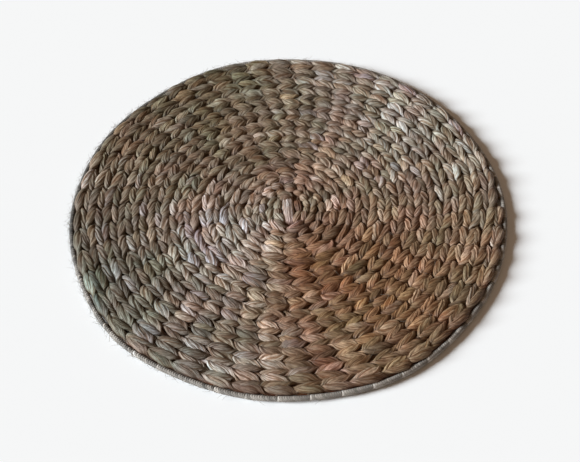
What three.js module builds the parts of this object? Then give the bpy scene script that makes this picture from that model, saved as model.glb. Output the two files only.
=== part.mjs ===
import * as THREE from 'three';

// A round placemat of dried water hyacinth, twined in a flat spiral and edged with a wrapped hoop.
// Millimetres, +Z up. It lies on its underside, and the origin is the middle of that face.
// In the photographed view the right of the mat is +X and its far side is +Y.

// Driving dimensions

const matDiameter = 370;
const weaveThickness = 9.4;     // table to the crest of a stitch
const hoopDiameter = 4.6;       // core and wrapping together
const hoopHeight = 3.6;         // table to the middle of the hoop
const fitGap = 0.3;             // between the weave and the hoop
const firstLoopLength = 25;     // the long stitch across the middle, where the spiral starts
const firstLoopWidth = 11;
const firstLoopShoulder = { share: 0.62, drop: 0.5 };
const longRows = 8;             // rows that still follow the loop's long shape
const rowCount = 28;            // rows of twining, in pairs that slant towards each other
const spokeLean = 0.2;          // the columns of stitches lean off the radius by this slope

const matRadius = matDiameter / 2;
const firstLoopRadius = firstLoopWidth / 2;
const rowPitch = (matRadius - hoopDiameter - fitGap - firstLoopRadius) / rowCount;
const fullTurn = Math.PI * 2;

// Spokes are added as the mat grows, so that every stitch keeps about the same length.

const spokeBands = [
  { lastRow: 4, spokes: 8 },
  { lastRow: 8, spokes: 16 },
  { lastRow: 12, spokes: 25 },
  { lastRow: 16, spokes: 40 },
  { lastRow: rowCount, spokes: 50 },
];
const hoopSegments = spokeBands.at(-1).spokes;

// One stitch along its row. It comes up beside a spoke, swells, and dives under the next stitch.
// swing moves the crest off the middle of its row, away from the other row of the pair.

const crestSteps = [
  { along: 0.02, drop: 2.3, swing: 0.05 },
  { along: 0.30, drop: 0.0, swing: -0.16 },
  { along: 0.74, drop: 0.3, swing: 0.17 },
];

// The groove between two rows. Inside a pair it is shut where the stitches meet and opens to a
// dark pit where they part; between pairs it is the other way round.

const grooveSteps = [
  { along: 0.22, dropInPair: 1.5, dropBetween: 3.2 },
  { along: 0.86, dropInPair: 4.4, dropBetween: 1.9 },
];

// The side of the weave, from its widest line under the last row down to the table.

const sideSteps = [
  { height: 4.6, inset: 0.0 },
  { height: 1.4, inset: 0.5 },
  { height: 0.0, inset: 1.8 },
];
const lastRowInset = 1.0;

// One wrapped segment of the hoop. The binding pinches it at every spoke.

const hoopSteps = [
  { along: 0.02, girth: 0.84 },
  { along: 0.28, girth: 1.0 },
  { along: 0.72, girth: 0.97 },
];
const hoopSides = 8;

// The edge isn't a true circle. Each wave adds its height to the radius, peaking at its angle,
// which is in degrees from +X.

const edgeWaves = [
  { count: 2, height: 0.56, peak: 41 },
  { count: 3, height: 0.38, peak: -34 },
  { count: 4, height: 0.33, peak: 28 },
  { count: 5, height: 0.44, peak: 5 },
  { count: 6, height: 0.51, peak: -9 },
  { count: 7, height: 0.33, peak: 5 },
  { count: 9, height: 0.34, peak: -17 },
  { count: 10, height: 0.34, peak: 6 },
];

// Crests lie this much higher or lower, scattered over the rows and the stitches of a row.

const handUnevenness = 0.4;
const scatter = { perRow: 12.99, perStitch: 78.23 };

function edgeRadius(angle) {
  const wave = ({ count, height, peak }) =>
    height * Math.cos(count * (angle - THREE.MathUtils.degToRad(peak)));
  return edgeWaves.reduce((radius, step) => radius + wave(step), matRadius);
}

function weaveRadius(angle) {
  return edgeRadius(angle) - hoopDiameter - fitGap;
}

// The radius of row line 0 to rowCount. The first rows are long, because they go round the loop.

function rowRadius(line, angle) {
  const even = firstLoopRadius + (weaveRadius(angle) - firstLoopRadius) * (line / rowCount);
  const stillLong = Math.max(0, 1 - line / longRows) ** 2;
  const stretch = (firstLoopLength - firstLoopWidth) / 2;
  return even + stretch * stillLong * Math.sin(angle) ** 2;
}

function lean(line) {
  const radius = firstLoopRadius + rowPitch * line;
  return spokeLean * Math.log(radius / matRadius);
}

function spokesAt(row) {
  return spokeBands.find(({ lastRow }) => row < lastRow).spokes;
}

function unevenness(row, stitch) {
  return handUnevenness * Math.sin(row * scatter.perRow + stitch * scatter.perStitch);
}

// A ring of corners: each one's turn, from 0 to 1, orders it, and its position places it.

function ringOf(spokes, steps, line, place) {
  const corners = [];
  for (let spoke = 0; spoke < spokes; spoke += 1) {
    for (const step of steps) {
      const turn = (spoke + step.along) / spokes;
      const angle = turn * fullTurn + lean(line);
      const { radius, height } = place(step, angle, spoke);
      const position = new THREE.Vector3(radius * Math.cos(angle), radius * Math.sin(angle), height);
      corners.push({ turn, position });
    }
  }
  return corners;
}

function crestRing(row) {
  const line = row + 0.5;
  const awayFromPair = row % 2 === 0 ? -1 : 1;
  return ringOf(spokesAt(row), crestSteps, line, (step, angle, spoke) => ({
    radius: rowRadius(line, angle) + awayFromPair * step.swing * rowPitch,
    height: weaveThickness - step.drop + unevenness(row, spoke),
  }));
}

function grooveRing(line) {
  const isInPair = line % 2 === 1;
  const row = Math.min(line, rowCount - 1);
  return ringOf(spokesAt(row), grooveSteps, line, (step, angle) => ({
    radius: rowRadius(line, angle) - (line === rowCount ? lastRowInset : 0),
    height: weaveThickness - (isInPair ? step.dropInPair : step.dropBetween),
  }));
}

function firstLoopRing() {
  const { share, drop } = firstLoopShoulder;
  return ringOf(spokesAt(0), grooveSteps, 0, (step, angle) => ({
    radius: share * rowRadius(0, angle),
    height: weaveThickness - drop,
  }));
}

function sideRing({ height, inset }) {
  return ringOf(hoopSegments, grooveSteps, rowCount, (step, angle) => ({
    radius: weaveRadius(angle) - inset,
    height,
  }));
}

// Two rings with any number of corners each are joined by going round both at once.

function joinRings(inner, outer) {
  const triangles = [];
  let a = 0;
  let b = 0;
  const turnAt = (ring, i) => ring[i % ring.length].turn + Math.floor(i / ring.length);
  while (a < inner.length || b < outer.length) {
    const here = [inner[a % inner.length], outer[b % outer.length]];
    const outerIsNext = turnAt(outer, b + 1) < turnAt(inner, a + 1);
    if (a === inner.length || (b < outer.length && outerIsNext)) {
      b += 1;
      triangles.push([...here, outer[b % outer.length]]);
    } else {
      a += 1;
      triangles.push([...here, inner[a % inner.length]]);
    }
  }
  return triangles;
}

function fanTo(centre, ring, faceUp) {
  return ring.map((corner, i) => {
    const next = ring[(i + 1) % ring.length];
    return faceUp ? [centre, corner, next] : [centre, next, corner];
  });
}

function geometryOf(triangles) {
  const corners = [...new Set(triangles.flat())];
  const numbers = new Map(corners.map((corner, i) => [corner, i]));
  const geometry = new THREE.BufferGeometry();
  geometry.setFromPoints(corners.map(({ position }) => position));
  geometry.setIndex(triangles.flat().map((corner) => numbers.get(corner)));
  geometry.computeVertexNormals();
  return geometry;
}

// The woven field: the first loop, every row's groove and crest, the side, and a flat underside.

function makeWovenField() {
  const rings = [firstLoopRing(), grooveRing(0)];
  for (let row = 0; row < rowCount; row += 1) {
    rings.push(crestRing(row), grooveRing(row + 1));
  }
  rings.push(...sideSteps.map(sideRing));

  const top = { position: new THREE.Vector3(0, 0, weaveThickness) };
  const underside = { position: new THREE.Vector3(0, 0, 0) };
  const triangles = fanTo(top, rings[0], true);
  for (let i = 1; i < rings.length; i += 1) {
    triangles.push(...joinRings(rings[i - 1], rings[i]));
  }
  triangles.push(...fanTo(underside, rings.at(-1), false));

  const dryStem = new THREE.MeshStandardMaterial({ color: 0x8c7862, roughness: 0.78, metalness: 0 });
  const mesh = new THREE.Mesh(geometryOf(triangles), dryStem);
  mesh.name = 'woven_field';
  return mesh;
}

// The hoop: a ring of round sections outside the last row.

function makeWrappedHoop() {
  const sections = [];
  for (let segment = 0; segment < hoopSegments; segment += 1) {
    for (const { along, girth } of hoopSteps) {
      const angle = ((segment + along) / hoopSegments) * fullTurn + lean(rowCount);
      sections.push(hoopSection(angle, (girth * hoopDiameter) / 2));
    }
  }
  const triangles = sections.flatMap((section, i) =>
    bridgeSections(section, sections[(i + 1) % sections.length]),
  );

  const paleBinding = new THREE.MeshStandardMaterial({ color: 0xa39b8d, roughness: 0.7, metalness: 0 });
  const mesh = new THREE.Mesh(geometryOf(triangles), paleBinding);
  mesh.name = 'wrapped_hoop';
  return mesh;
}

function hoopSection(angle, girthRadius) {
  const middle = edgeRadius(angle) - hoopDiameter / 2;
  return Array.from({ length: hoopSides }, (_, side) => {
    const around = (side / hoopSides) * fullTurn;
    const radius = middle + girthRadius * Math.cos(around);
    const height = hoopHeight + girthRadius * Math.sin(around);
    return { position: new THREE.Vector3(radius * Math.cos(angle), radius * Math.sin(angle), height) };
  });
}

function bridgeSections(section, next) {
  return section.flatMap((corner, side) => {
    const beside = (side + 1) % hoopSides;
    return [
      [corner, next[side], next[beside]],
      [corner, next[beside], section[beside]],
    ];
  });
}

const placemat = new THREE.Group();
placemat.add(makeWovenField(), makeWrappedHoop());

export default placemat;
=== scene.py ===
import math

import bmesh
import bpy
import numpy as np
from mathutils import Matrix, Vector


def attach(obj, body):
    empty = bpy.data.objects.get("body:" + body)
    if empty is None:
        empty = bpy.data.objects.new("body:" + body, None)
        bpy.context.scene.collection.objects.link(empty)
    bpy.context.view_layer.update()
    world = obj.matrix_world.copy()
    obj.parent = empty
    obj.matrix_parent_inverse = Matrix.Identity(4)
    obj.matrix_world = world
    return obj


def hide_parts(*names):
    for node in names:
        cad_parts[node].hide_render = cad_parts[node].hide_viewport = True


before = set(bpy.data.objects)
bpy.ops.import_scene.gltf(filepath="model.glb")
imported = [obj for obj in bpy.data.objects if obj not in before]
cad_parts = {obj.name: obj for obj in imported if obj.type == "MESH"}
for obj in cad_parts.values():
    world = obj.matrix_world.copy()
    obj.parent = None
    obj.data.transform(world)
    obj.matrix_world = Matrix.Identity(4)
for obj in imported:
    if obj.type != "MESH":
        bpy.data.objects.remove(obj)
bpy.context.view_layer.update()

mm = 0.001
fullTurn = 2 * math.pi
chance = np.random.default_rng(20)

# The mat's plan. Rows are counted outward from the first loop, and angles are degrees from +X.
mat = {
    "radius": 185 * mm,
    "middle": 4.6 * mm,       # height of the middle of the weave above the table
    "hoopThickness": 4.6 * mm,
    "overHoop": 1.6 * mm,     # the last row bulges over the hoop by this much
    "firstLoopLength": 25 * mm,
    "firstLoopWidth": 11 * mm,
    "rows": 28,
    "longRows": 8,            # rows that still follow the loop's long shape
    "evenedRows": (10, 26),   # rows from which and to which the spiral is evened to fit the edge
    "spokeLean": 0.2,         # the columns of stitches lean off the radius by this slope
    "spokeBands": ((2, 8), (8, 16), (12, 25), (16, 40), (28, 50)),   # up to this row, this many
    "bandChange": 0.05,       # turns to either side over which a band changes into the next
    "crowding": 0.08,         # the spokes stand closer together than usual on one side
    "crowdedAt": 80,
    "edgeWaves": (            # bumps round the edge, how high, and the angle of one of them
        (2, 0.56 * mm, 41),
        (3, 0.38 * mm, -34),
        (4, 0.33 * mm, 28),
        (5, 0.44 * mm, 5),
        (6, 0.51 * mm, -9),
        (7, 0.33 * mm, 5),
        (9, 0.34 * mm, -17),
        (10, 0.34 * mm, 6),
    ),
    "startAngle": 345,        # where the spiral starts and ends
    "endTurns": 0.09,         # the last pair of rows tapers off over this share of a turn
}
turns = mat["rows"] / 2
upward = np.array([0, 0, 1.0])
seamGap = 1e-7                # metres between corners that are merged where a swept piece closes


def smooth(low, high, value):
    share = np.clip((value - low) / (high - low), 0, 1)
    return share * share * (3 - 2 * share)


# Grows from least to 1 as share grows from 0 to 1.
def atLeast(least, share):
    return least + (1 - least) * share


def edgeRadius(angle):
    radius = mat["radius"] + 0 * angle
    for count, height, peak in mat["edgeWaves"]:
        radius = radius + height * np.cos(count * (angle - math.radians(peak)))
    return radius


def weaveRadius(angle):
    return edgeRadius(angle) - mat["hoopThickness"] + mat["overHoop"]


# How many rows the spiral has at an angle. It has up to two more on one side than on the other.
def rowsAt(angle):
    turned = ((angle - math.radians(mat["startAngle"])) / fullTurn) % 1
    rows = mat["rows"] - 1 + 2 * turned
    drop = 2 * (1 - smooth(0, mat["endTurns"], turned))
    return rows + np.where(turned < mat["endTurns"], drop, 0)


def rowRadius(line, angle):
    start = mat["firstLoopWidth"] / 2
    share = line / mat["rows"]
    evening = 1 + smooth(*mat["evenedRows"], line) * (mat["rows"] / rowsAt(angle) - 1)
    stillLong = np.clip(1 - line / mat["longRows"], 0, 1) ** 2
    stretch = (mat["firstLoopLength"] - mat["firstLoopWidth"]) / 2
    even = start + (weaveRadius(angle) - start) * share * evening
    return even + stretch * stillLong * np.sin(angle) ** 2


def lean(line):
    start = mat["firstLoopWidth"] / 2
    pitch = (mat["radius"] - mat["hoopThickness"] - start) / mat["rows"]
    return mat["spokeLean"] * np.log((start + pitch * np.maximum(line, 0)) / mat["radius"])


def crowded(angle):
    return angle + mat["crowding"] * np.sin(angle - math.radians(mat["crowdedAt"]))


# The angle that crowded moves to this one, looked for over a little more than a turn.
def uncrowded(angle):
    tried = np.linspace(-0.5, 7, 2000)
    return np.interp(angle, crowded(tried), tried)


# How many spokes have been crossed after so many turns. Where spokes are added, the count changes
# over a stitch or two, and keeps running on.
def spokesCrossed(turned):
    angle = math.radians(mat["startAngle"]) + fullTurn * turned
    crossed = None
    for band, (upTo, spokes) in enumerate(mat["spokeBands"]):
        here = spokes * crowded(angle - lean(2 * turned)) / fullTurn
        if crossed is None:
            crossed = here
        else:
            change = mat["spokeBands"][band - 1][0] / 2
            before = np.interp(change, turned, crossed)
            after = np.interp(change, turned, here)
            here = here + round(before - after)
            begin, end = change - mat["bandChange"], change + mat["bandChange"]
            crossed = crossed + smooth(begin, end, turned) * (here - crossed)
    return crossed


def unit(vectors):
    return vectors / np.maximum(np.linalg.norm(vectors, axis=-1, keepdims=True), 1e-12)


def outwardAt(angle):
    return np.stack([np.cos(angle), np.sin(angle), 0 * angle], -1)


def addObject(name, data):
    piece = bpy.data.objects.new(name, data)
    bpy.context.scene.collection.objects.link(piece)
    return piece


def meshFrom(shell, name):
    mesh = bpy.data.meshes.new(name)
    shell.to_mesh(mesh)
    shell.free()
    return mesh


# A flat grid, and each corner's number along it and across it.
def flatGrid(name, count, sides):
    shell = bmesh.new()
    shell.loops.layers.uv.new("UVMap")
    bmesh.ops.create_grid(shell, x_segments=count - 1, y_segments=sides - 1, size=0.5, calc_uvs=True)
    mesh = meshFrom(shell, name)
    flat = np.empty(len(mesh.vertices) * 3)
    mesh.vertices.foreach_get("co", flat)
    x, y, z = flat.reshape(-1, 3).T
    i = np.rint((x - x.min()) / np.ptp(x) * (count - 1)).astype(int)
    j = np.rint((y - y.min()) / np.ptp(y) * (sides - 1)).astype(int)
    return mesh, i, j


# The map's first axis is stretched to metres along the line, so that fibres follow the stem.
def mapInMetres(mesh, centres, lengthBefore):
    length = np.concatenate([[0], np.cumsum(np.linalg.norm(np.diff(centres, axis=0), axis=1))])
    uv = np.empty(len(mesh.loops) * 2)
    layer = mesh.uv_layers["UVMap"].uv
    layer.foreach_get("vector", uv)
    uv = uv.reshape(-1, 2)
    share = uv[:, 0] * (len(centres) - 1)
    uv[:, 0] = lengthBefore + np.interp(share, np.arange(len(centres)), length)
    layer.foreach_set("vector", uv.ravel())


def closeShell(mesh, ring):
    shell = bmesh.new()
    shell.from_mesh(mesh)
    border = [v for v in shell.verts if v.is_boundary]
    bmesh.ops.remove_doubles(shell, verts=border, dist=seamGap)
    if not ring:
        bmesh.ops.holes_fill(shell, edges=[e for e in shell.edges if e.is_boundary], sides=0)
    if shell.calc_volume(signed=True) < 0:
        bmesh.ops.reverse_faces(shell, faces=shell.faces)
    for face in shell.faces:
        face.smooth = True
    shell.to_mesh(mesh)
    shell.free()


# Sweeps a section along a line. The grid is rolled up, its seam merged, and its ends closed or joined.
# Tone and painted shade are given for each step along the line, or also for each step round the
# section.
def sweep(name, centres, across, outward, wide, high, tone, paintedShade, ring=False, lengthBefore=0.0):
    mesh, i, j = flatGrid(name, *wide.shape)
    place = centres[i] + across[i] * wide[i, j, None] + outward[i] * high[i, j, None]
    mesh.vertices.foreach_set("co", place.ravel())
    mapInMetres(mesh, centres, lengthBefore)
    layer = mesh.attributes.new("stemColour", "FLOAT_COLOR", "POINT")
    layer.data.foreach_set("color", (tone[i, j] if tone.ndim == 3 else tone[i]).ravel())
    layer = mesh.attributes.new("paintedShade", "FLOAT", "POINT")
    layer.data.foreach_set("value", paintedShade[i, j] if paintedShade.ndim == 2 else paintedShade[i])
    closeShell(mesh, ring)
    return addObject(name, mesh)


def joined(name, pieces):
    shell = bmesh.new()
    for piece in pieces:
        shell.from_mesh(piece.data)
        bpy.data.objects.remove(piece)
    return addObject(name, meshFrom(shell, name))


def repeated(values, count):
    return np.repeat(np.array([values]), count, 0)


# Materials
def newMaterial(name, roughness, specular=None):
    material = bpy.data.materials.new(name)
    material.use_nodes = True
    tree = material.node_tree
    shader = tree.nodes["Principled BSDF"]
    shader.inputs["Roughness"].default_value = roughness
    if specular is not None:
        shader.inputs["Specular IOR Level"].default_value = specular
    return material, tree, shader


# What is stored on the mesh under this name.
def ownValue(tree, name, output):
    node = tree.nodes.new("ShaderNodeAttribute")
    node.attribute_name = name
    return node.outputs[output]


def stretchedNoise(tree, scale, detail, roughness):
    uv = tree.nodes.new("ShaderNodeUVMap")
    uv.uv_map = "UVMap"
    stretch = tree.nodes.new("ShaderNodeMapping")
    stretch.inputs["Scale"].default_value = (*scale, 1)
    noise = tree.nodes.new("ShaderNodeTexNoise")
    noise.inputs["Scale"].default_value = 1
    noise.inputs["Detail"].default_value = detail
    noise.inputs["Roughness"].default_value = roughness
    tree.links.new(uv.outputs["UV"], stretch.inputs["Vector"])
    tree.links.new(stretch.outputs["Vector"], noise.inputs["Vector"])
    return noise.outputs["Fac"]


def evenNoise(tree, scale, detail):
    place = tree.nodes.new("ShaderNodeTexCoord")
    noise = tree.nodes.new("ShaderNodeTexNoise")
    noise.inputs["Scale"].default_value = scale
    noise.inputs["Detail"].default_value = detail
    tree.links.new(place.outputs["Object"], noise.inputs["Vector"])
    return noise.outputs["Fac"]


def spread(tree, value, span, tones=(0, 1)):
    mapped = tree.nodes.new("ShaderNodeMapRange")
    mapped.inputs["From Min"].default_value = span[0]
    mapped.inputs["From Max"].default_value = span[1]
    mapped.inputs["To Min"].default_value = tones[0]
    mapped.inputs["To Max"].default_value = tones[1]
    tree.links.new(value, mapped.inputs["Value"])
    return mapped.outputs["Result"]


def blended(tree, kind, factor, first, second):
    mix = tree.nodes.new("ShaderNodeMix")
    mix.data_type = "RGBA"
    mix.blend_type = kind
    for socket, value in ((mix.inputs[0], factor), (mix.inputs[6], first), (mix.inputs[7], second)):
        if isinstance(value, bpy.types.NodeSocket):
            tree.links.new(value, socket)
        else:
            socket.default_value = value
    return mix.outputs[2]


def tinted(tree, shade, tint, factor=1.0):
    return blended(tree, "MULTIPLY", factor, shade, tint)


def bumped(tree, height, depth, strength, below=None):
    bump = tree.nodes.new("ShaderNodeBump")
    bump.inputs["Strength"].default_value = strength
    bump.inputs["Distance"].default_value = depth
    tree.links.new(height, bump.inputs["Height"])
    if below:
        tree.links.new(below, bump.inputs["Normal"])
    return bump.outputs["Normal"]


# Scales are per metre, and where there are two, the second is for once round the stem. A span is
# the part of a noise that runs from one colour to the other.
fibre = {
    "roughness": 0.52,
    "specular": 0.35,
    "wrinkles": {"scale": (24, 13), "detail": 3, "roughness": 0.5},
    "fibres": {"scale": (210, 24), "detail": 5, "roughness": 0.7},
    "blotches": {"scale": (70, 1.6), "detail": 2, "roughness": 0.5},
    "regions": {"scale": 30, "detail": 3},   # patches of stems of one growth
    "wrinkleDepth": 1.8 * mm,
    "fibreDepth": 0.7 * mm,
    "bumpStrength": 0.7,
    "blotchSpan": (0.38, 0.62),
    "warmBlotch": (0.97, 0.89, 0.83, 1),
    "coolBlotch": (1.01, 1.05, 1.08, 1),
    "regionSpan": (0.36, 0.64),
    "greenRegion": (0.96, 1.035, 1.00, 1),
    "pinkRegion": (1.06, 0.945, 0.97, 1),
    "streakSpan": (0.34, 0.66),
    "darkStreak": (0.38, 0.31, 0.25, 1),
    "paleStreak": (1.68, 1.76, 1.83, 1),
    "lineSpan": (0.50, 0.43),
    "lineTint": (0.56, 0.43, 0.34, 1),      # what the dark lines along a stem are multiplied by
    "paintedShadeTint": (0.32, 0.12, 0.040, 1),     # and what its low parts are multiplied by, as painted shade
}


def stemMaterial():
    material, tree, shader = newMaterial("driedStem", fibre["roughness"], fibre["specular"])
    wrinkles = stretchedNoise(tree, **fibre["wrinkles"])
    fibres = stretchedNoise(tree, **fibre["fibres"])
    blotches = spread(tree, stretchedNoise(tree, **fibre["blotches"]), fibre["blotchSpan"])
    regions = spread(tree, evenNoise(tree, **fibre["regions"]), fibre["regionSpan"])
    streaks = spread(tree, fibres, fibre["streakSpan"])
    lines = spread(tree, wrinkles, fibre["lineSpan"])

    hue = blended(tree, "MIX", blotches, fibre["warmBlotch"], fibre["coolBlotch"])
    growth = blended(tree, "MIX", regions, fibre["greenRegion"], fibre["pinkRegion"])
    streak = blended(tree, "MIX", streaks, fibre["darkStreak"], fibre["paleStreak"])
    shade = ownValue(tree, "stemColour", "Color")
    for tint in (hue, growth, streak):
        shade = tinted(tree, shade, tint)
    shade = tinted(tree, shade, fibre["lineTint"], lines)
    # painted shade: the low parts of the stems are darkened and reddened
    shade = tinted(tree, shade, fibre["paintedShadeTint"], ownValue(tree, "paintedShade", "Fac"))
    tree.links.new(shade, shader.inputs["Base Color"])

    coarse = bumped(tree, wrinkles, fibre["wrinkleDepth"], fibre["bumpStrength"])
    fine = bumped(tree, fibres, fibre["fibreDepth"], fibre["bumpStrength"], coarse)
    tree.links.new(fine, shader.inputs["Normal"])
    return material


driedStem = stemMaterial()

# Camera. It looks down at the mat from its near side. Angles are degrees.
view = {
    "elevation": 51.34,
    "distance": 5.857 * mat["radius"],
    "target": Vector((0.008, -0.0899, 0)) * mat["radius"],
    "roll": -0.812,
    "focalPixels": 1271.7,
    "imageWidth": 580,
    "sensorWidth": 36,
    "nearest": 10 * mm,       # nothing nearer the camera than this is drawn
}


def makeCamera():
    data = bpy.data.cameras.new("viewCamera")
    data.sensor_width = view["sensorWidth"]
    data.lens = data.sensor_width * view["focalPixels"] / view["imageWidth"]
    data.clip_start = view["nearest"]
    camera = addObject("viewCamera", data)
    up = math.radians(view["elevation"])
    place = Vector((0, -math.cos(up), math.sin(up))) * view["distance"]
    aim = (view["target"] - place).to_track_quat("-Z", "Y").to_matrix().to_4x4()
    turn = aim @ Matrix.Rotation(math.radians(view["roll"]), 4, "Z")
    turn.translation = place
    camera.matrix_world = turn
    bpy.context.scene.camera = camera


makeCamera()
print("camera placed")

# Stems. Two rows are twined at once, each of two flattened stems that take turns over and under
# the spokes. The inner row slants one way and the outer row the other.
stem = {
    "halfWidth": 4.6 * mm,
    "firstWidth": 0.72,       # width beside the first loop, as a share of the full width
    "widthRows": (0, 6),      # rows over which it grows to the full width
    "halfThickness": 2.75 * mm,
    "flatness": 0.9,          # how square the sides of a stem are: 1 is an oval
    "swing": 2.15 * mm,       # each stem swings this far to both sides of its row
    "firstSwing": 0.45,       # the share of it that the rows round the middle have
    "swingRows": (2, 12),     # rows over which it grows to the full swing
    "straightness": 0.7,      # how much of that swing is straight runs, not a wave
    "rise": 2.1 * mm,         # each stem rises and dips this far from the middle of the weave
    "lingering": 0.05,        # how long a stem stays up before it dives
    "upperSteps": 13,         # steps along a stitch on the upper side, and on the underside
    "lowerSteps": 5,
    "firstTurn": 0.1,         # turns from the middle at which the stems begin
    "samples": 60000,         # places on the spiral between which the steps are looked for
    "blend": (0.36, 0.64),    # the part of the way to the next stitch over which its values take over
    "topSides": 15,
    "bottomSides": 6,
    "ridge": 0.28 * mm,
    "ridges": (2.7, 4.1),     # wrinkles across the top of a stem
    "endWidth": 0.52,         # width where a stem dives, as a share of its full width
    "endThickness": 0.62,
    "bluntness": 0.45,        # how roundly a stitch ends: lower is rounder
    "edgeRows": (-1.4, -0.6),    # rows from the edge between which a stem comes to be in the last row
    "edgeInset": 1.3 * mm,    # the last row is held in by the hoop, swings less and is narrower
    "nearInset": 1.1 * mm,    # and is held in further on the near side
    "nearAt": 265,
    "nearReach": (0, 0.8),    # cosines from that angle at which this begins and is full
    "edgeSwing": 0.5,
    "edgeWidth": 0.88,
    "edgeOrder": 0.8,         # how much of the scatter in place the last row loses
    "endTaper": {"rise": 0.5, "width": 0.5, "thickness": 0.3},   # lost by the end of the spiral
    "contact": 0.05 * mm,     # the lowest stitches are pressed flat on the table
    "deep": 4.2 * mm,         # below this height a stem is painted dark as shade, and above the next it is clear
    "clear": 7.7 * mm,
    "tones": (0.01, 0.85),    # no stem is darker or paler than these
}

# Line is a row's place from the middle of its pair, side the way it slants, and over tells its two
# stems apart. The lengths before a stem begins keep their fibres from looking alike.
rows = {
    "stemsInnerA": {"line": -0.5, "side": -1, "over": 0, "plump": 0.94, "lengthBefore": 0},
    "stemsInnerB": {"line": -0.5, "side": -1, "over": 1, "plump": 0.94, "lengthBefore": 20},
    "stemsOuterA": {"line": 0.5, "side": 1, "over": 0, "plump": 1.05, "lengthBefore": 40},
    "stemsOuterB": {"line": 0.5, "side": 1, "over": 1, "plump": 1.05, "lengthBefore": 60},
}

# How far stitches differ from each other, as standard deviations.
scatter = {
    "phase": 0.05,            # stitches
    "swing": 0.2,             # share
    "rise": 0.07,             # share
    "place": 0.65 * mm,
    "roll": 0.16,             # radians
    "width": 0.14,            # share
    "thickness": 0.08,        # share
    "ridges": 1.5,            # radians
    "brightness": 0.21,
}

# Dried stems of different plants: how common each is and its colour.
stemKinds = {
    "greyBeige": (0.38, (0.268, 0.209, 0.159)),
    "greenGrey": (0.16, (0.250, 0.204, 0.148)),
    "warmBrown": (0.17, (0.263, 0.197, 0.139)),
    "pinkBeige": (0.12, (0.292, 0.225, 0.179)),
    "redBrown": (0.03, (0.252, 0.175, 0.127)),
    "lilacGrey": (0.06, (0.331, 0.271, 0.249)),
    "pale": (0.08, (0.420, 0.360, 0.310)),
}

# Where the stems as a whole are tinted, two of them with a painted sheen: angle, share of the radius,
# reach, and the tint.
colourPatches = {
    "warmNearRight": (-50, 0.60, 0.42, (0.90, 0.69, 0.46)),
    "darkFarLeft": (122, 0.88, 0.42, (0.59, 0.63, 0.52)),
    # painted sheen, pale grey, towards the far right
    "paintedSheenRight": (38, 0.80, 0.33, (1.22, 1.38, 1.56)),
    "warmAboveHub": (85, 0.30, 0.16, (0.94, 0.84, 0.80)),
    # painted sheen, pale grey, left of the middle
    "paintedSheenLeft": (218, 0.28, 0.17, (1.66, 1.88, 2.36)),
    "brownBelowHub": (282, 0.32, 0.12, (0.80, 0.62, 0.48)),
    "dimLeftEdge": (204, 0.92, 0.29, (0.49, 0.61, 0.60)),
    "dimRight": (3, 0.62, 0.16, (0.88, 0.86, 0.86)),
    "greyNearLeft": (240, 0.86, 0.22, (0.92, 1.02, 1.15)),
    "redNear": (-80, 0.82, 0.05, (0.80, 0.60, 0.52)),
}


# One value for each stitch, held along the stitch and blended where the stem dives.
def perStitch(values, crossed, first):
    place = crossed - first
    whole = np.floor(place).astype(int)
    share = smooth(*stem["blend"], place - whole)
    whole = np.clip(whole, 0, len(values) - 2)
    if values.ndim == 2:
        share = share[:, None]
    return values[whole] * (1 - share) + values[whole + 1] * share


def patchTint(angle, radius):
    place = outwardAt(angle)[:, :2] * (radius / mat["radius"])[:, None]
    tint = np.ones((len(angle), 3))
    for heading, share, reach, colour in colourPatches.values():
        centre = outwardAt(np.array([math.radians(heading)]))[0, :2] * share
        strength = np.exp(-(((place - centre) ** 2).sum(1)) / (2 * reach**2))
        tint = tint * (1 + strength[:, None] * (np.array(colour) - 1))
    return tint


def stemColours(stitches):
    names = list(stemKinds)
    shares = np.array([stemKinds[n][0] for n in names])
    colours = np.array([stemKinds[n][1] for n in names])
    picks = chance.choice(len(names), stitches, p=shares / shares.sum())
    brightness = np.exp(scatter["brightness"] * chance.standard_normal(stitches))
    return colours[picks] * brightness[:, None]


def aroundSection():
    top = np.linspace(0, math.pi, stem["topSides"] + 1)
    bottom = np.linspace(math.pi, fullTurn, stem["bottomSides"] + 1)
    half = stem["bottomSides"] // 2
    return np.concatenate([bottom[half:-1] - fullTurn, top, bottom[1:half + 1]])


# How much of a wrinkle shows at each side of a section: all on top, and none underneath.
def onTop(around):
    return np.clip(np.sin(around), 0, 1) ** 0.5


# Steps along a stem, counted in stitches. Upper stitches show, so they have more of them.
def stitchSteps(first, last, over):
    steps = []
    for stitch in range(first, last):
        count = stem["upperSteps"] if (stitch + over) % 2 == 0 else stem["lowerSteps"]
        steps.append(stitch - 0.5 + np.arange(count) / count)
    return np.concatenate(steps)


# The directions across a stem and out of its face, which turns with the slant of its row.
def stemDirections(centres, phase, side, outwardLine, roll):
    along = unit(np.gradient(centres, axis=0))
    turning = phase - 0.5 * np.sin(2 * phase)
    outward = side * np.sin(turning)[:, None] * outwardLine + np.cos(turning)[:, None] * upward
    outward = unit(outward - (outward * along).sum(1, keepdims=True) * along)
    across = np.cross(along, outward)
    rolledAcross = across * np.cos(roll) - outward * np.sin(roll)
    rolledOutward = outward * np.cos(roll) + across * np.sin(roll)
    return rolledAcross, rolledOutward


def stemSection(halfWidth, halfThickness, upper, ridgePhases):
    around = aroundSection()
    acrossShare = np.sign(np.cos(around)) * np.abs(np.cos(around)) ** stem["flatness"]
    wide = halfWidth[:, None] * acrossShare
    high = halfThickness[:, None] * np.sin(around)
    ridges = np.zeros_like(wide)
    for waves, phase in zip(stem["ridges"], ridgePhases):
        ridges += np.cos(math.pi * waves * acrossShare + phase[:, None])
    return wide, high + stem["ridge"] * ridges * onTop(around) * np.abs(upper)[:, None]


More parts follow.
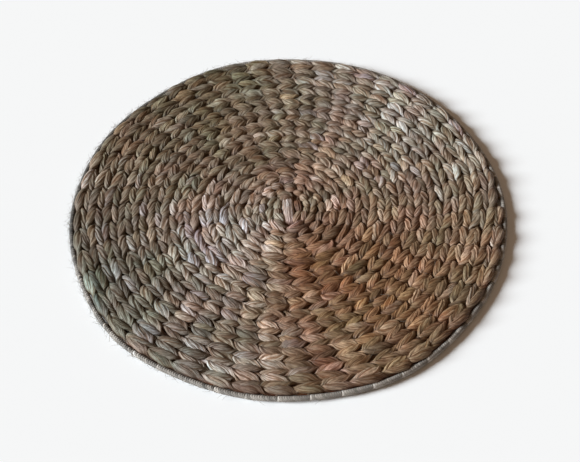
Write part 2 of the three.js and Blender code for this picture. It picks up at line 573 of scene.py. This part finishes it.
def twine(name, row):
    turned = np.linspace(stem["firstTurn"], turns + mat["endTurns"], stem["samples"])
    crossed = spokesCrossed(turned)
    first, last = math.ceil(crossed[0]) + 1, math.floor(crossed[-1]) - 1
    steps = stitchSteps(first, last, row["over"])
    stitches = last - first + 2

    def draw(deviation, middle=0.0):
        return perStitch(middle + deviation * chance.standard_normal(stitches), steps, first - 1)

    # Where each step is: turns from the start, its angle, its row, and how near the edge and the end.
    at = np.interp(steps, crossed, turned)
    angle = math.radians(mat["startAngle"]) + fullTurn * at
    taper = np.clip((at - turns) / mat["endTurns"], 0, 1)
    line = 2 * at + row["line"] * (1 - taper) - taper
    atEdge = smooth(*stem["edgeRows"], line - rowsAt(angle))
    ending = stem["endTaper"]

    phase = math.pi * (steps + row["over"] + draw(scatter["phase"]))
    upper = np.cos(phase - stem["lingering"] * np.sin(2 * phase))
    wave = np.sin(phase)
    straight = np.arcsin(wave) * 2 / math.pi
    side = row["side"] * (stem["straightness"] * straight + (1 - stem["straightness"]) * wave)
    slanting = atLeast(stem["firstSwing"], smooth(*stem["swingRows"], line))
    swing = stem["swing"] * slanting * draw(scatter["swing"], 1)
    swing = swing * (1 - (1 - stem["edgeSwing"]) * atEdge)
    rise = stem["rise"] * draw(scatter["rise"], 1) * (1 - ending["rise"] * taper)

    nearSide = smooth(*stem["nearReach"], np.cos(angle - math.radians(stem["nearAt"])))
    inset = stem["edgeInset"] + stem["nearInset"] * nearSide
    radius = rowRadius(line, angle) + swing * side - inset * atEdge
    radius = radius + draw(scatter["place"]) * (1 - stem["edgeOrder"] * atEdge)
    outwardLine = outwardAt(angle)
    centres = radius[:, None] * outwardLine + (mat["middle"] + rise * upper)[:, None] * upward
    roll = draw(scatter["roll"])[:, None]
    across, outward = stemDirections(centres, phase, row["side"], outwardLine, roll)

    dive = np.abs(upper) ** stem["bluntness"]
    full = atLeast(stem["endWidth"], dive)
    small = atLeast(stem["firstWidth"], smooth(*stem["widthRows"], line))
    halfWidth = stem["halfWidth"] * small * full * draw(scatter["width"], 1)
    halfWidth = halfWidth * (1 - ending["width"] * taper)
    halfWidth = halfWidth * row["plump"] * (1 - (1 - stem["edgeWidth"]) * atEdge)
    halfThickness = stem["halfThickness"] * atLeast(stem["endThickness"], dive)
    halfThickness = halfThickness * draw(scatter["thickness"], 1) * (1 - ending["thickness"] * taper)
    ridgePhases = [draw(scatter["ridges"], waves) for waves in stem["ridges"]]
    wide, high = stemSection(halfWidth, halfThickness, upper, ridgePhases)

    # the patches give the stems tints of their own, and also a painted sheen in two places
    tone = perStitch(stemColours(stitches), steps, first - 1) * patchTint(angle, radius)
    tone = np.concatenate([np.clip(tone, *stem["tones"]), np.ones((len(tone), 1))], 1)
    height = centres[:, 2:] + high * outward[:, 2:] + wide * across[:, 2:]
    # the low parts of a stem, between rows and where it dives, are painted dark as shade
    paintedShade = 1 - smooth(stem["deep"], stem["clear"], height)
    piece = sweep(name, centres, across, outward, wide, high, tone, paintedShade,
                  lengthBefore=row["lengthBefore"])
    for v in piece.data.vertices:
        v.co.z = max(v.co.z, stem["contact"])
    piece.data.materials.append(driedStem)
    return piece


stemPieces = []
for name, row in rows.items():
    stemPieces.append(twine(name, row))
    print("twined", name, len(stemPieces[-1].data.polygons), "faces")

# The hub. The long first loop lies across the middle, with short thick stitches crowded round it.
hub = {
    "steps": 22,
    "ridge": 0.45 * mm,
    "folds": ((3.2, 0.6, 1.0), (5, 0.0, 0.6)),   # how many across a stitch, their phase, how strong
    "crest": 9.3 * mm,
    "ends": 4.0 * mm,
    "halfThickness": 2.4 * mm,
    "endSize": 0.35,          # width and thickness at a stitch's ends, as a share of the full size
    "bluntness": 0.8,
    "endPaintedShade": 0.85,          # how dark the ends are painted as shade, fading over this part of the dome's height
    "paintedShadeSpan": (0.1, 0.7),
}

# Places and sizes are millimetres, and turned is the stitch's heading from +X.
hubStitches = {
    "firstLoop": {
        "at": (0.0, 2.6), "turned": -85, "long": 35, "wide": 10.4, "colour": (0.46, 0.38, 0.35),
    },
    "leftOfLoop": {
        "at": (-8.5, 7.0), "turned": 84, "long": 15, "wide": 7.4, "colour": (0.36, 0.30, 0.23),
    },
    "redOfLoop": {
        "at": (8.6, 5.0), "turned": 100, "long": 14, "wide": 7.0, "colour": (0.16, 0.075, 0.045),
    },
    "lowerLeft": {
        "at": (-8.0, -6.5), "turned": -52, "long": 16, "wide": 8.0, "colour": (0.37, 0.33, 0.27),
    },
    "lowerRight": {
        "at": (8.0, -6.5), "turned": 62, "long": 15, "wide": 6.4, "colour": (0.33, 0.24, 0.17),
    },
}


def hubStitch(name, stitch):
    share = np.linspace(-1, 1, hub["steps"])
    heading = math.radians(stitch["turned"])
    alongLine = np.array([math.cos(heading), math.sin(heading), 0])
    dome = np.sqrt(np.clip(1 - share**2, 0, 1))
    height = hub["ends"] + (hub["crest"] - hub["halfThickness"] - hub["ends"]) * dome
    middle = np.array([*stitch["at"], 0]) * mm
    centres = middle + share[:, None] * alongLine * stitch["long"] * mm / 2 + height[:, None] * upward
    outward = repeated(upward, len(share))
    across = np.cross(repeated(alongLine, len(share)), outward)
    around = aroundSection()
    full = atLeast(hub["endSize"], dome ** hub["bluntness"])
    wide = (stitch["wide"] * mm / 2 * full)[:, None] * np.cos(around)
    high = (hub["halfThickness"] * full)[:, None] * np.sin(around)
    folds = 0
    for waves, phase, strength in hub["folds"]:
        folds = folds + strength * np.cos(math.pi * waves * np.cos(around) + phase)
    high = high + hub["ridge"] * folds * onTop(around) * dome[:, None]
    tone = repeated([*stitch["colour"], 1.0], len(share))
    # painted shade on the ends of a hub stitch, where it dives
    paintedShade = hub["endPaintedShade"] * (1 - smooth(*hub["paintedShadeSpan"], dome))
    return sweep(name, centres, across, outward, wide, high, tone, paintedShade)


firstLoop = joined("firstLoop", [hubStitch(name, stitch) for name, stitch in hubStitches.items()])
firstLoop.data.materials.append(driedStem)
print("hub made")

# The middle of the weave, behind the gaps between the stitches.
innerWeave = {
    "reach": 178.5 * mm,
    "low": 3.3 * mm,
    "high": 5.0 * mm,
    "relief": 0.35 * mm,
    "stepsPerRow": 3,
    "spinSteps": 128,
    "mergeGap": 0.001 * mm,
    # painted shade: the stems seen through the gaps are given the dark brown of the shade there
    "colour": (0.150, 0.085, 0.045, 1),
    "roughness": 0.9,
    "grain": {"scale": 700, "detail": 3},
    "grainSpan": (0.3, 0.7),
    "grainTones": (0.5, 1.5),
}


def makeInnerWeave():
    count = mat["rows"] * innerWeave["stepsPerRow"]
    shell = bmesh.new()
    corners = []
    for step in range(count + 1):
        share = step / count
        wave = innerWeave["relief"] * math.cos(fullTurn * share * mat["rows"])
        corners.append(shell.verts.new((innerWeave["reach"] * share, 0, innerWeave["high"] + wave)))
    for share in (1, 0):
        corners.append(shell.verts.new((innerWeave["reach"] * share, 0, innerWeave["low"])))
    edges = [shell.edges.new(pair) for pair in zip(corners, corners[1:])]
    bmesh.ops.spin(shell, geom=corners + edges, axis=(0, 0, 1), cent=(0, 0, 0), angle=fullTurn,
                   steps=innerWeave["spinSteps"], use_merge=True)
    bmesh.ops.remove_doubles(shell, verts=shell.verts, dist=innerWeave["mergeGap"])
    bmesh.ops.recalc_face_normals(shell, faces=shell.faces)
    piece = addObject("innerWeave", meshFrom(shell, "innerWeave"))

    material, tree, shader = newMaterial("shadedStem", innerWeave["roughness"])
    grain = evenNoise(tree, **innerWeave["grain"])
    tone = spread(tree, grain, innerWeave["grainSpan"], innerWeave["grainTones"])
    tree.links.new(tinted(tree, innerWeave["colour"], tone), shader.inputs["Base Color"])
    piece.data.materials.append(material)
    return piece


innerPiece = makeInnerWeave()
print("inner weave spun")

# Spokes. Each band of rows has its own, and the last ones reach the hoop.
spoke = {
    "halfThickness": 1.2 * mm,
    "sides": 8,
    "steps": 8,
    "firstLine": 0.3,         # rows from the first loop at which the innermost ones begin
    "overlap": 1,             # rows that a spoke begins before its band
    "endHeight": 3.6 * mm,    # inside the hoop
    "colour": (0.17, 0.11, 0.07),
}


def makeSpoke(lines, evenAngle):
    angle = uncrowded(evenAngle) + lean(lines)
    radius = rowRadius(lines, angle)
    height = np.full(len(lines), mat["middle"])
    if lines[-1] == mat["rows"]:
        radius[-1] = edgeRadius(angle[-1]) - mat["hoopThickness"] / 2
        height[-1] = spoke["endHeight"]
    centres = radius[:, None] * outwardAt(angle) + height[:, None] * upward
    outward = repeated(upward, len(lines))
    across = np.cross(unit(np.gradient(centres, axis=0)), outward)
    around = np.linspace(0, fullTurn, spoke["sides"] + 1)
    wide = spoke["halfThickness"] * repeated(np.cos(around), len(lines))
    high = spoke["halfThickness"] * repeated(np.sin(around), len(lines))
    tone = repeated([*spoke["colour"], 1.0], len(lines))
    return sweep("spoke", centres, across, outward, wide, high, tone, 0 * lines)


def makeSpokes():
    pieces = []
    begin = 0
    for upTo, count in mat["spokeBands"]:
        lines = np.linspace(max(begin - spoke["overlap"], spoke["firstLine"]), upTo, spoke["steps"])
        for number in range(count):
            pieces.append(makeSpoke(lines, fullTurn * number / count))
        begin = upTo
    spokes = joined("spokes", pieces)
    spokes.data.materials.append(driedStem)
    return spokes


spokePiece = makeSpokes()
print("spokes laid", len(spokePiece.data.polygons), "faces")

# The hoop. Each length between two spokes starts with a raised end of binding and thins out until the
# next one, with a painted highlight on the raised end that fades to painted shade as it thins. Fine
# threads are wound across it.
hoop = {
    "halfThickness": 2.5 * mm,
    "height": 3.6 * mm,
    "threads": 600,
    "stepsPerThread": 4,
    "sides": 16,
    "slant": 1.5,             # threads that one of them slants across on its way round
    "threadRelief": 0.4 * mm,
    "pinch": 0.24,            # how much thinner the hoop is where a length of binding begins
    "swelling": (0, 0.06),    # the part of a length over which it grows from the pinch
    "thinning": 0.55,         # how much of its bulge a length has lost at its end
    "colour": (0.42, 0.378, 0.335),
    "tones": (0.02, 0.9),     # the binding is no darker or paler than these
    "darkThreads": (170, 262),   # the wound threads stand out most between these angles
    "darkBlend": 0.2,
    "threadScatter": (0.16, 0.24),   # how the threads differ in tone, and how much more there
    "paintedGrooveShade": 0.04,       # how dark it is painted between two threads, as shade in the groove
    "grooveShadeStrength": (0.4, 0.6),    # how much of that painted shade shows, and how much more there
    "paintedStartHighlight": 1.2,         # painted highlight at the start of a length, and the painted shade it gains by the end
    "paintedEndShade": 0.65,
    "endShadeSpared": 0.4,        # how much less painted shade it gains where the threads stand out
    "shadyAt": 155,
    "shadyReach": (0.55, 0.9),   # cosines from that angle at which the shade begins and is full
    "shade": 0.66,            # how much darker the binding is there
}
binding = {
    "roughness": 0.65,
    "specular": 0.3,
    "strands": {"scale": (1500, 3), "detail": 4, "roughness": 0.7},
    "strandSpan": (0.3, 0.7),
    "strandTones": (0.6, 1.35),
    "strandDepth": 0.25 * mm,
    "bumpStrength": 0.8,
}


# The tone of the binding for each step along the hoop and round it.
def hoopColour(angle, inSegment, thread, crest):
    near = np.cos(angle - math.radians(sum(hoop["darkThreads"]) / 2))
    reach = math.cos(math.radians(np.ptp(hoop["darkThreads"]) / 2))
    wound = smooth(reach - hoop["darkBlend"], reach + hoop["darkBlend"], near)[:, None]
    usual, more = hoop["threadScatter"]
    tone = np.exp((usual + more * wound) * chance.standard_normal(hoop["threads"])[thread])
    # painted shade in the grooves between threads
    usual, more = hoop["grooveShadeStrength"]
    tone = tone * (1 - (1 - hoop["paintedGrooveShade"]) * (usual + more * wound) * (1 - crest**2))
    # painted highlight on the raised start of each length, fading to painted shade by its end
    loss = hoop["paintedEndShade"] * inSegment[:, None] * (1 - hoop["endShadeSpared"] * wound)
    tone = tone * (hoop["paintedStartHighlight"] - loss)
    shady = smooth(*hoop["shadyReach"], np.cos(angle - math.radians(hoop["shadyAt"])))
    tone = tone * (1 - hoop["shade"] * shady)[:, None]
    colour = np.clip(tone[:, :, None] * np.array(hoop["colour"]), *hoop["tones"])
    return np.concatenate([colour, np.ones((*tone.shape, 1))], 2)


def makeHoop():
    count = hoop["threads"] * hoop["stepsPerThread"]
    share = np.linspace(0, 1, count + 1)
    angle = fullTurn * share
    segment = crowded(angle - lean(mat["rows"])) / fullTurn * mat["spokeBands"][-1][1]
    inSegment = segment % 1
    around = np.linspace(0, fullTurn, hoop["sides"] + 1) - math.pi / 2
    threads = share[:, None] * hoop["threads"] + hoop["slant"] * np.sin(around)
    thread = np.floor(threads).astype(int) % hoop["threads"]
    crest = np.abs(np.sin(math.pi * threads))
    bulge = smooth(*hoop["swelling"], inSegment) * (1 - hoop["thinning"] * inSegment)
    girth = hoop["halfThickness"] * (1 - hoop["pinch"] * (1 - bulge))
    size = girth[:, None] + hoop["threadRelief"] * (crest - 1)

    middle = edgeRadius(angle) - hoop["halfThickness"]
    across = outwardAt(angle)
    centres = middle[:, None] * across + hoop["height"] * upward
    outward = repeated(upward, count + 1)
    wide, high = size * np.cos(around), size * np.sin(around)
    colour = hoopColour(angle, inSegment, thread, crest)
    piece = sweep("wrappedHoop", centres, across, outward, wide, high, colour, 0 * share, ring=True)
    piece.data.materials.append(bindingMaterial())
    return piece


def bindingMaterial():
    material, tree, shader = newMaterial("paleBinding", binding["roughness"], binding["specular"])
    strands = stretchedNoise(tree, **binding["strands"])
    tone = spread(tree, strands, binding["strandSpan"], binding["strandTones"])
    shade = tinted(tree, ownValue(tree, "stemColour", "Color"), tone)
    tree.links.new(shade, shader.inputs["Base Color"])
    relief = bumped(tree, strands, binding["strandDepth"], binding["bumpStrength"])
    tree.links.new(relief, shader.inputs["Normal"])
    return material


hoopPiece = makeHoop()
print("hoop wound", len(hoopPiece.data.polygons), "faces")

# Loose fibres. Short hairs stand off the hoop, and longer frayed ones lie on the weave.
hair = {
    "halfThickness": 0.12 * mm,
    "thinning": 0.6,          # how much of its thickness a hair has lost at its tip
    "steps": 7,
    "sides": 4,
    "colours": ((0.30, 0.27, 0.22), (0.44, 0.40, 0.33)),
}
onHoop = {
    "count": 420,
    "length": (3 * mm, 8 * mm),
    "shaggiest": 160,         # degrees, the side with most hairs
    "shagSpread": 0.8,        # how far they scatter from it, in radians
    "root": 0.6,              # radians from the hoop's widest line, for how far out a hair begins
    "rootHeight": (-0.5, 0.8),   # from the hoop's middle, as a share of its half thickness
    "turned": (0.9, 1.45),    # from straight outward to either side, in radians
    "lift": (-1, 1),          # millimetres at the tip
    "bend": 0.5,              # how far they bend to either side, in radians
}
onWeave = {
    "count": 110,
    "length": (6 * mm, 15 * mm),
    "reach": (0.02, 0.86),    # shares of the mat's area, from the middle
    "height": (8.2, 9.2),     # millimetres
    "turned": 0.7,            # how far they scatter from the way the rows run, in radians
    "lift": (0, 1.5),
    "bend": 0.7,
}


def hairPiece(start, heading, length, lift, bend):
    share = np.linspace(0, 1, hair["steps"])
    turn = heading + bend * share
    centres = start + np.cumsum(outwardAt(turn), 0) * length / hair["steps"]
    centres = centres + (lift * share**2)[:, None] * upward
    along = unit(np.gradient(centres, axis=0))
    across = unit(np.cross(along, upward))
    around = np.linspace(0, fullTurn, hair["sides"] + 1)
    half = hair["halfThickness"] * (1 - hair["thinning"] * share)[:, None]
    wide, high = half * np.cos(around), half * np.sin(around)
    dark, pale = np.array(hair["colours"])
    tone = repeated([*(dark + (pale - dark) * chance.random()), 1.0], len(share))
    return sweep("hair", centres, across, np.cross(across, along), wide, high, tone, 0 * share)


def makeHoopHair():
    angle = math.radians(onHoop["shaggiest"]) + chance.normal(0, onHoop["shagSpread"])
    rim = edgeRadius(np.array([angle])) - hoop["halfThickness"] * (1 - math.cos(onHoop["root"]))
    height = hoop["height"] + hoop["halfThickness"] * chance.uniform(*onHoop["rootHeight"])
    start = rim[:, None] * outwardAt(np.array([angle]))[0] + height * upward
    heading = angle + chance.choice((-1, 1)) * chance.uniform(*onHoop["turned"])
    length = chance.uniform(*onHoop["length"])
    lift = chance.uniform(*onHoop["lift"]) * mm
    return hairPiece(start, heading, length, lift, chance.normal(0, onHoop["bend"]))


def makeWeaveHair():
    angle = chance.uniform(0, fullTurn)
    radius = mat["radius"] * math.sqrt(chance.uniform(*onWeave["reach"]))
    height = chance.uniform(*onWeave["height"]) * mm
    start = radius * outwardAt(np.array([angle]))[0] + height * upward
    length = chance.uniform(*onWeave["length"])
    heading = angle + math.pi / 2 + chance.normal(0, onWeave["turned"])
    lift = chance.uniform(*onWeave["lift"]) * mm
    return hairPiece(start, heading, length, lift, chance.normal(0, onWeave["bend"]))


hoopHairs = joined("hoopHairs", [makeHoopHair() for number in range(onHoop["count"])])
weaveHairs = joined("weaveHairs", [makeWeaveHair() for number in range(onWeave["count"])])
for piece in (hoopHairs, weaveHairs):
    piece.data.materials.append(driedStem)
print("loose fibres laid")

# Floor and light
floor = {"size": 12, "below": 0.2 * mm, "colour": (0.945, 0.945, 0.945, 1), "roughness": 0.9}
light = {
    "sunStrength": 6.5,
    "sunPlace": Vector((-1.0, -0.14, 0.46)),
    "sunSpread": 24,          # degrees
    "sunColour": (0.93, 1.0, 1.05),
    "sky": 0.13,
    "skyColour": (1.36, 0.95, 0.64, 1),
}


def makeFloor():
    shell = bmesh.new()
    bmesh.ops.create_grid(shell, x_segments=1, y_segments=1, size=floor["size"])
    bmesh.ops.translate(shell, verts=shell.verts, vec=(0, 0, -floor["below"]))
    piece = addObject("floor", meshFrom(shell, "floor"))
    material, tree, shader = newMaterial("paleFloor", floor["roughness"], 0)
    shader.inputs["Base Color"].default_value = floor["colour"]
    piece.data.materials.append(material)


def makeLight():
    data = bpy.data.lights.new("keyLight", "SUN")
    data.energy = light["sunStrength"]
    data.angle = math.radians(light["sunSpread"])
    data.color = light["sunColour"]
    lamp = addObject("keyLight", data)
    lamp.rotation_euler = (-light["sunPlace"]).to_track_quat("-Z", "Y").to_euler()
    world = bpy.data.worlds.new("studio")
    world.use_nodes = True
    sky = world.node_tree.nodes["Background"]
    sky.inputs["Color"].default_value = light["skyColour"]
    sky.inputs["Strength"].default_value = light["sky"]
    bpy.context.scene.world = world
    bpy.context.scene.view_settings.view_transform = "Standard"


makeFloor()
makeLight()

for piece in (*stemPieces, firstLoop, innerPiece, spokePiece, weaveHairs):
    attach(piece, "root")
    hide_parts("woven_field")
for piece in (hoopPiece, hoopHairs):
    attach(piece, "root")
    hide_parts("wrapped_hoop")
